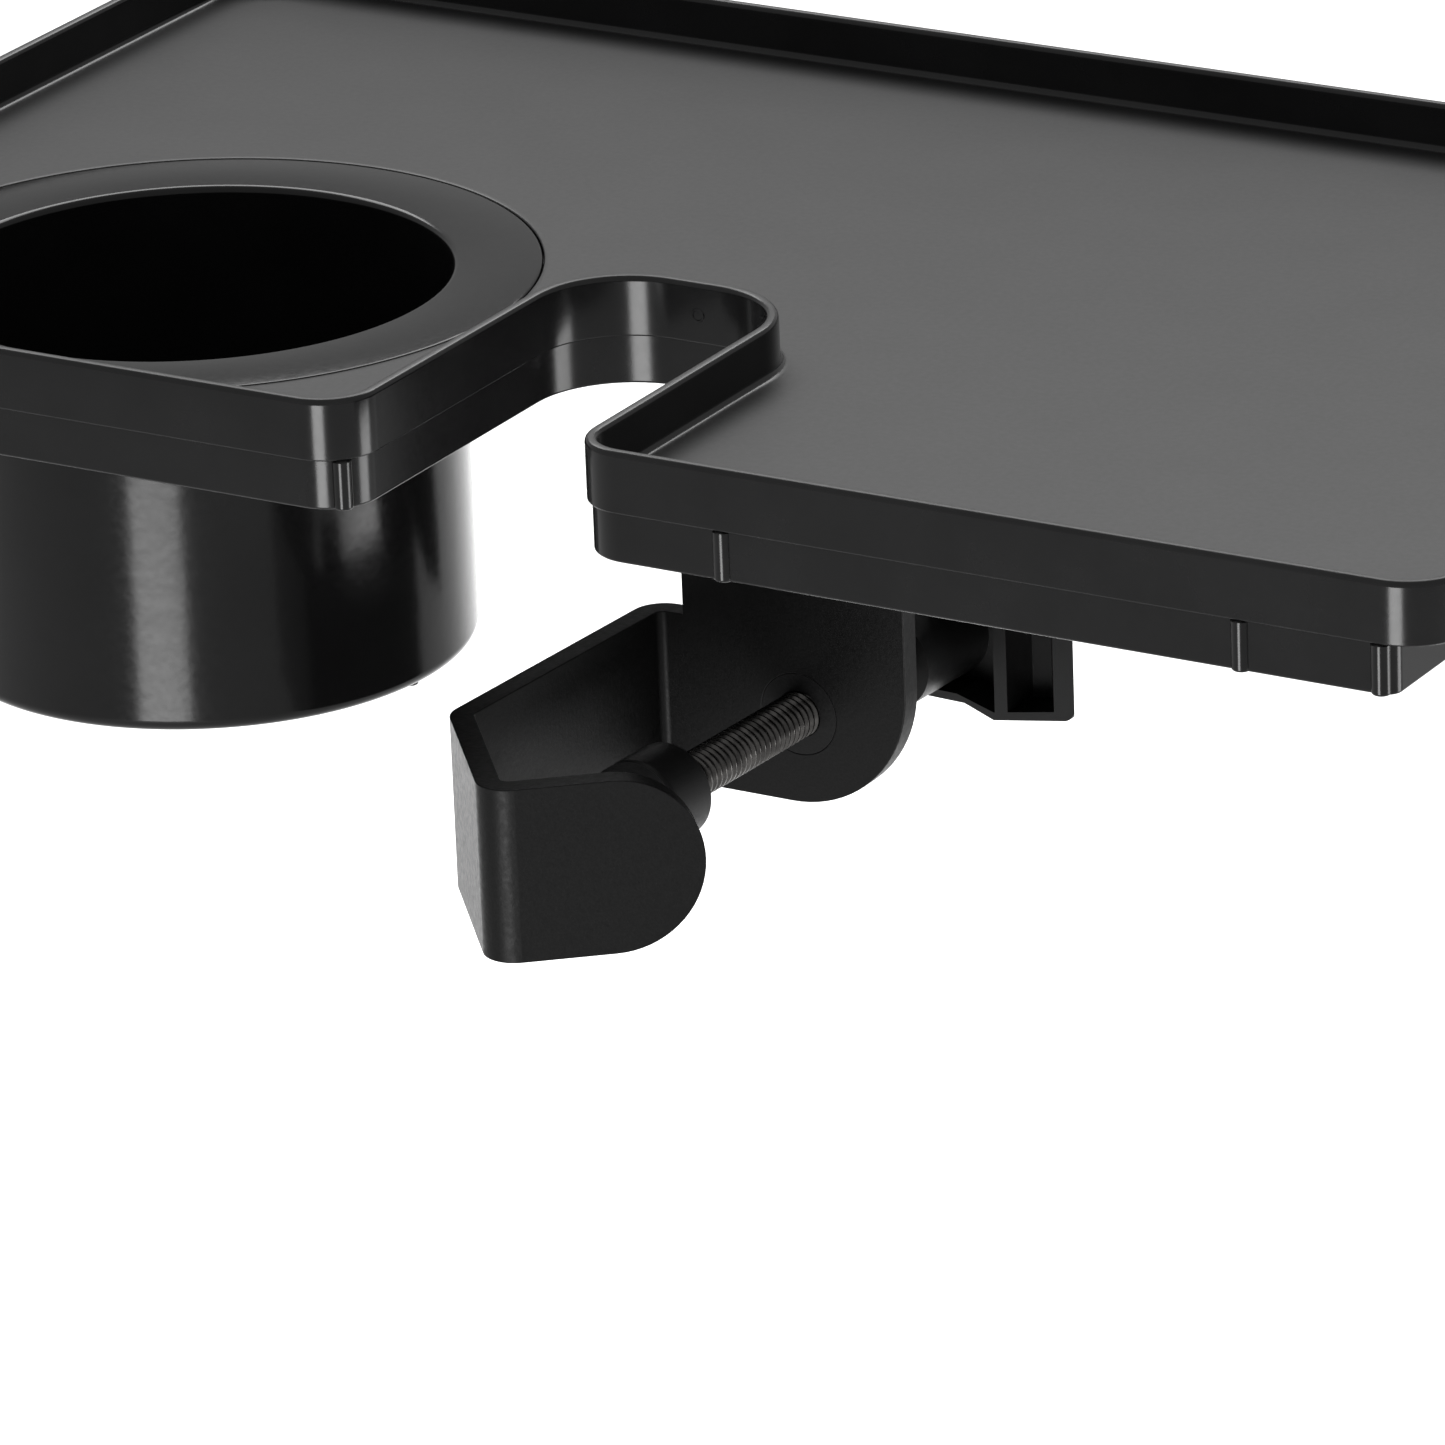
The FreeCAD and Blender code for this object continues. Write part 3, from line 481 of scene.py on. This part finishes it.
def loose_centres(node):
    """The middle of each separate solid in a CAD node."""
    bm = bmesh.new()
    bm.from_mesh(frame["nodes"][node].data)
    bmesh.ops.remove_doubles(bm, verts=bm.verts, dist=2e-6)
    left = set(bm.verts)
    centres = []
    while left:
        found, waiting = [], [left.pop()]
        while waiting:
            vert = waiting.pop()
            found.append(vert.co)
            for edge in vert.link_edges:
                other = edge.other_vert(vert)
                if other in left:
                    left.remove(other)
                    waiting.append(other)
        low = Vector(min(c[i] for c in found) for i in range(3))
        high = Vector(max(c[i] for c in found) for i in range(3))
        centres.append((low + high) / 2)
    bm.free()
    return centres


def make_tray():
    """The moulding: rim, stepped skirt, floor with the cup's seat, beads, ribs and bosses."""
    bm = bmesh.new()
    rings, seat = tray_rings(bm), seat_rings(bm)
    skin(bm, rings)
    skin(bm, seat)
    fill_between(bm, rings[0], seat[0])
    fill_between(bm, rings[-1], seat[-1])
    bmesh.ops.recalc_face_normals(bm, faces=bm.faces)
    for x, y in bead_places():
        add_bead(bm, x, y)
    add_ribs(bm)
    add_bosses(bm)
    add_gate_mark(bm)
    mesh = bpy.data.meshes.new("tray_finish")
    bm.to_mesh(mesh)
    bm.free()
    even_shading(piece("tray_finish", mesh, "tray_plastic", "holder", "tray", sharp=50))


make_tray()


# ---------------------------------------------------------------- the drink cup

FOOT_CIRCLE = 41 * MM
FOOT_TURN = -4
FOOT_HEIGHT = 1.0 * MM
FOOT_RADIUS = 1.3 * MM


def cup_section():
    """The cup as (radius, height): floor, inside wall, mouth, flange, outside wall, base."""
    top, base = CUP_HIGH.z, CUP_LOW.z + FOOT_HEIGHT
    floor, shelf = base + 2.4 * MM, top - CUP_FLANGE_THICK
    outer = CUP_MOUTH + CUP_WALL
    floor_round, mouth_round, edge_round = 4 * MM, 1.2 * MM, 2.2 * MM
    lip, neck, hollow = 0.5 * MM, 1.0 * MM, 0.5 * MM
    section = [(0, floor), (CUP_MOUTH - floor_round - 1 * MM, floor)]
    section += arc(CUP_MOUTH - floor_round, floor + floor_round, floor_round, -90, 0)
    section += arc(CUP_MOUTH + mouth_round, top - mouth_round, mouth_round, 180, 90)
    section += arc(CUP_FLANGE - lip, top - lip, lip, 90, 0, 4)
    section += [(CUP_FLANGE, shelf), (outer + neck, shelf)]
    section += arc(outer + neck, shelf - neck, neck, 90, 180, 4)
    section += arc(outer - edge_round, base + edge_round, edge_round, 0, -90, 8)
    section += [(outer - 6 * MM, base), (outer - 6.6 * MM, base + hollow), (0, base + hollow)]
    return section


def make_cup():
    """The cup, turned as on a lathe, and the three small feet under it."""
    bm = bmesh.new()
    centre = Matrix.Translation((CUP_X, CUP_Y, 0))
    revolve(bm, cup_section(), centre, LATHE_STEPS)
    low, rounding = CUP_LOW.z, 0.5 * MM
    root = low + FOOT_HEIGHT + 0.6 * MM
    foot = [(0, low)] + arc(FOOT_RADIUS - rounding, low + rounding, rounding, -90, 0, 4)
    foot += [(FOOT_RADIUS, root), (0, root)]
    for i in range(3):
        turn = math.radians(FOOT_TURN + 120 * i)
        step = Vector((math.cos(turn), math.sin(turn), 0)) * FOOT_CIRCLE
        revolve(bm, foot, centre @ Matrix.Translation(step), 24)
    piece("drink_cup_finish", mesh_from("drink_cup_finish", bm), "cup_plastic", "holder",
          "drink_cup", sharp=50)


make_cup()


# ---------------------------------------------------------------- clamp, pad and knob

softened("clamp_bracket", "bracket_paint", "holder", 0.55 * MM, 4)
softened("threaded_bush", "bush_steel", "holder", 0.08 * MM, 2)
softened("pressure_pad", "pad_plastic", "pad", 0.9 * MM, 4)
softened("pad_face", "pad_rubber", "pad", 0.5 * MM)
softened("wing_knob", "knob_plastic", "screw", 0.5 * MM, 3)
softened("knob_insert", "fastener_steel", "screw", 0.25 * MM)
softened("retaining_ring", "fastener_steel", "screw", 0.1 * MM, 2)
softened("flange_screws", "fastener_steel", "holder", 0.3 * MM)
softened("flange_washers", "fastener_steel", "holder", 0.15 * MM, 2)
softened("tray_inserts", "insert_brass", "holder", 0.2 * MM, 2)


# ---------------------------------------------------------------- the clamp screw

KNOB_TURN = next(joint for joint in frame["joints"] if joint["name"] == "knob_turn")
SCREW_POINT = Vector(KNOB_TURN["pos_m"])
SCREW_RUN = Vector(KNOB_TURN["axis"]).normalized()
PITCH = 25.4 / 18 * MM
MAJOR = 3.9 * MM
MINOR = 3.05 * MM
CREST_CORNER = 0.04 * MM
JOURNAL = 2.6 * MM
GROOVE = 2.05 * MM
CHAMFER = 0.4 * MM
THREAD_STEPS = 48


def along_screw(point):
    return (Vector(point) - SCREW_POINT).dot(SCREW_RUN)


def screw_span(node):
    """First and last place of a node's surface along the screw's axis."""
    places = [along_screw(v.co) for v in frame["nodes"][node].data.vertices]
    return min(places), max(places)


def add_thread(bm, place, start, end):
    """A helical ridge from start to end, with sloping flanks and a flat crest."""
    section = [(0.00, MINOR), (0.10, MINOR), (0.40, MAJOR - CREST_CORNER), (0.45, MAJOR),
               (0.65, MAJOR), (0.70, MAJOR - CREST_CORNER)]
    count = int((end - start) / PITCH * THREAD_STEPS)
    rows = []
    for i in range(count + 1):
        turn = 2 * math.pi * i / THREAD_STEPS
        rise = start + PITCH * (i / THREAD_STEPS - 1)
        row = []
        for share, radius in section:
            height = min(max(rise + PITCH * share, start), end)
            row.append(bm.verts.new(place @ Vector((radius * math.cos(turn),
                                                    radius * math.sin(turn), height))))
        rows.append(row)
    for i in range(count):
        for k in range(len(section) - 1):
            bm.faces.new([rows[i][k], rows[i + 1][k], rows[i + 1][k + 1], rows[i][k + 1]])
        if i + THREAD_STEPS < count:
            bm.faces.new([rows[i][-1], rows[i + 1][-1], rows[i + 1 + THREAD_STEPS][0],
                          rows[i + THREAD_STEPS][0]])


def shank_section(first, shoulder, thread_end, last):
    """The screw under its thread as (radius, height), from the journal's tip to the end."""
    groove_low, groove_high = first + 0.95 * MM, first + 1.85 * MM
    core, plain = MINOR + 0.02 * MM, MAJOR - 0.02 * MM
    return [(0, first), (JOURNAL - CHAMFER, first), (JOURNAL, first + CHAMFER),
            (JOURNAL, groove_low), (GROOVE, groove_low), (GROOVE, groove_high),
            (JOURNAL, groove_high), (JOURNAL, shoulder), (MAJOR - 0.5 * MM, shoulder),
            (core, shoulder + 0.5 * MM), (core, thread_end), (plain, thread_end),
            (plain, last - CHAMFER), (MAJOR - CHAMFER, last), (0, last)]


def make_screw():
    """The screw: a journal with a groove for the ring, the thread, and a plain end."""
    first, last = screw_span("clamp_screw")
    shoulder = screw_span("pressure_pad")[1] + 0.05 * MM
    thread_end = screw_span("knob_insert")[0] + 2 * MM
    along = SCREW_RUN.to_track_quat("Z", "Y").to_matrix().to_4x4()
    place = Matrix.Translation(SCREW_POINT) @ along
    bm = bmesh.new()
    add_thread(bm, place, shoulder, thread_end)
    revolve(bm, shank_section(first, shoulder, thread_end, last), place, THREAD_STEPS)
    piece("clamp_screw_finish", mesh_from("clamp_screw_finish", bm), "screw_steel", "screw",
          "clamp_screw", sharp=40)


make_screw()


# ---------------------------------------------------------------- floor, light and camera

def make_floor():
    material, tree, shader = new_material("floor_paint", (0.86, 0.86, 0.86), 0.6, 0.2)
    vary_colour(tree, shader, add_noise(tree, 3, 2), (0.85, 0.85, 0.85), (0.87, 0.87, 0.87))
    """A pale floor well below the part, which hangs on a stand."""
    half, low = 6.0, CAD_LOW.z - 0.55
    bm = bmesh.new()
    corners = [bm.verts.new((x, y, low)) for x, y in
               ((-half, -half), (half, -half), (half, half), (-half, half))]
    bm.faces.new(corners)
    mesh = mesh_from("floor", bm)
    mesh.materials.append(material)
    floor = bpy.data.objects.new("floor", mesh)
    bpy.context.scene.collection.objects.link(floor)


def make_lamp(name, place, target, width, height, power):
    lamp = bpy.data.lights.new(name, "AREA")
    lamp.shape = "RECTANGLE"
    lamp.size = width
    lamp.size_y = height
    lamp.energy = power
    obj = bpy.data.objects.new(name, lamp)
    obj.location = place
    obj.rotation_euler = (Vector(target) - Vector(place)).to_track_quat("-Z", "Y").to_euler()
    bpy.context.scene.collection.objects.link(obj)


def make_world():
    world = bpy.data.worlds.new("studio")
    bpy.context.scene.world = world
    world.use_nodes = True
    background = world.node_tree.nodes["Background"]
    background.inputs["Color"].default_value = (1, 1, 1, 1)
    background.inputs["Strength"].default_value = 0.42


make_floor()
make_world()
make_lamp("back_box", (-0.6, 1.0, 1.25), (0, 0.05, 0.07), 2.0, 0.8, 26)
make_lamp("left_box", (-1.1, 0.95, -0.30), (0, 0, 0.0), 0.7, 0.5, 2.1)
make_lamp("front_box", (0.17, -1.08, -0.36), (-0.05, 0, 0.03), 0.42, 0.4, 5.4)
make_lamp("right_box", (1.13, 0.39, -0.42), (0.1, 0, 0.04), 0.5, 0.4, 3.8)
make_lamp("floor_box", (-0.85, 1.4, -0.2), (-0.85, 1.4, -0.5), 2.0, 2.0, 18)

# The camera looks down by the elevation, from right of the front, with a slight roll.
AZIMUTH, ELEVATION, ROLL = (math.radians(a) for a in (31.23, 21.48, -2.25))
FOCAL_SHARE = 7.2664
AIM = Vector((0, 0, 14.75 * MM))
AIM_RIGHT, AIM_UP, DISTANCE = -0.025678, -0.004338, 1.66221


def make_camera():
    """A long lens, turned, tipped and rolled as the photograph's camera was."""
    back = Vector((math.sin(AZIMUTH) * math.cos(ELEVATION),
                   -math.cos(AZIMUTH) * math.cos(ELEVATION), math.sin(ELEVATION)))
    level = Vector((math.cos(AZIMUTH), math.sin(AZIMUTH), 0))
    upright = back.cross(level)
    right = level * math.cos(ROLL) + upright * math.sin(ROLL)
    up = upright * math.cos(ROLL) - level * math.sin(ROLL)
    eye = AIM + back * DISTANCE - right * AIM_RIGHT - up * AIM_UP
    lens = bpy.data.cameras.new("camera")
    lens.sensor_width = 36
    lens.lens = 36 * FOCAL_SHARE
    lens.clip_end = 50
    lens.dof.use_dof = False
    camera = bpy.data.objects.new("camera", lens)
    axes = Matrix((right, up, back)).transposed().to_4x4()
    camera.matrix_world = Matrix.Translation(eye) @ axes
    bpy.context.scene.collection.objects.link(camera)
    bpy.context.scene.camera = camera


make_camera()

bpy.context.scene.view_settings.view_transform = "Standard"
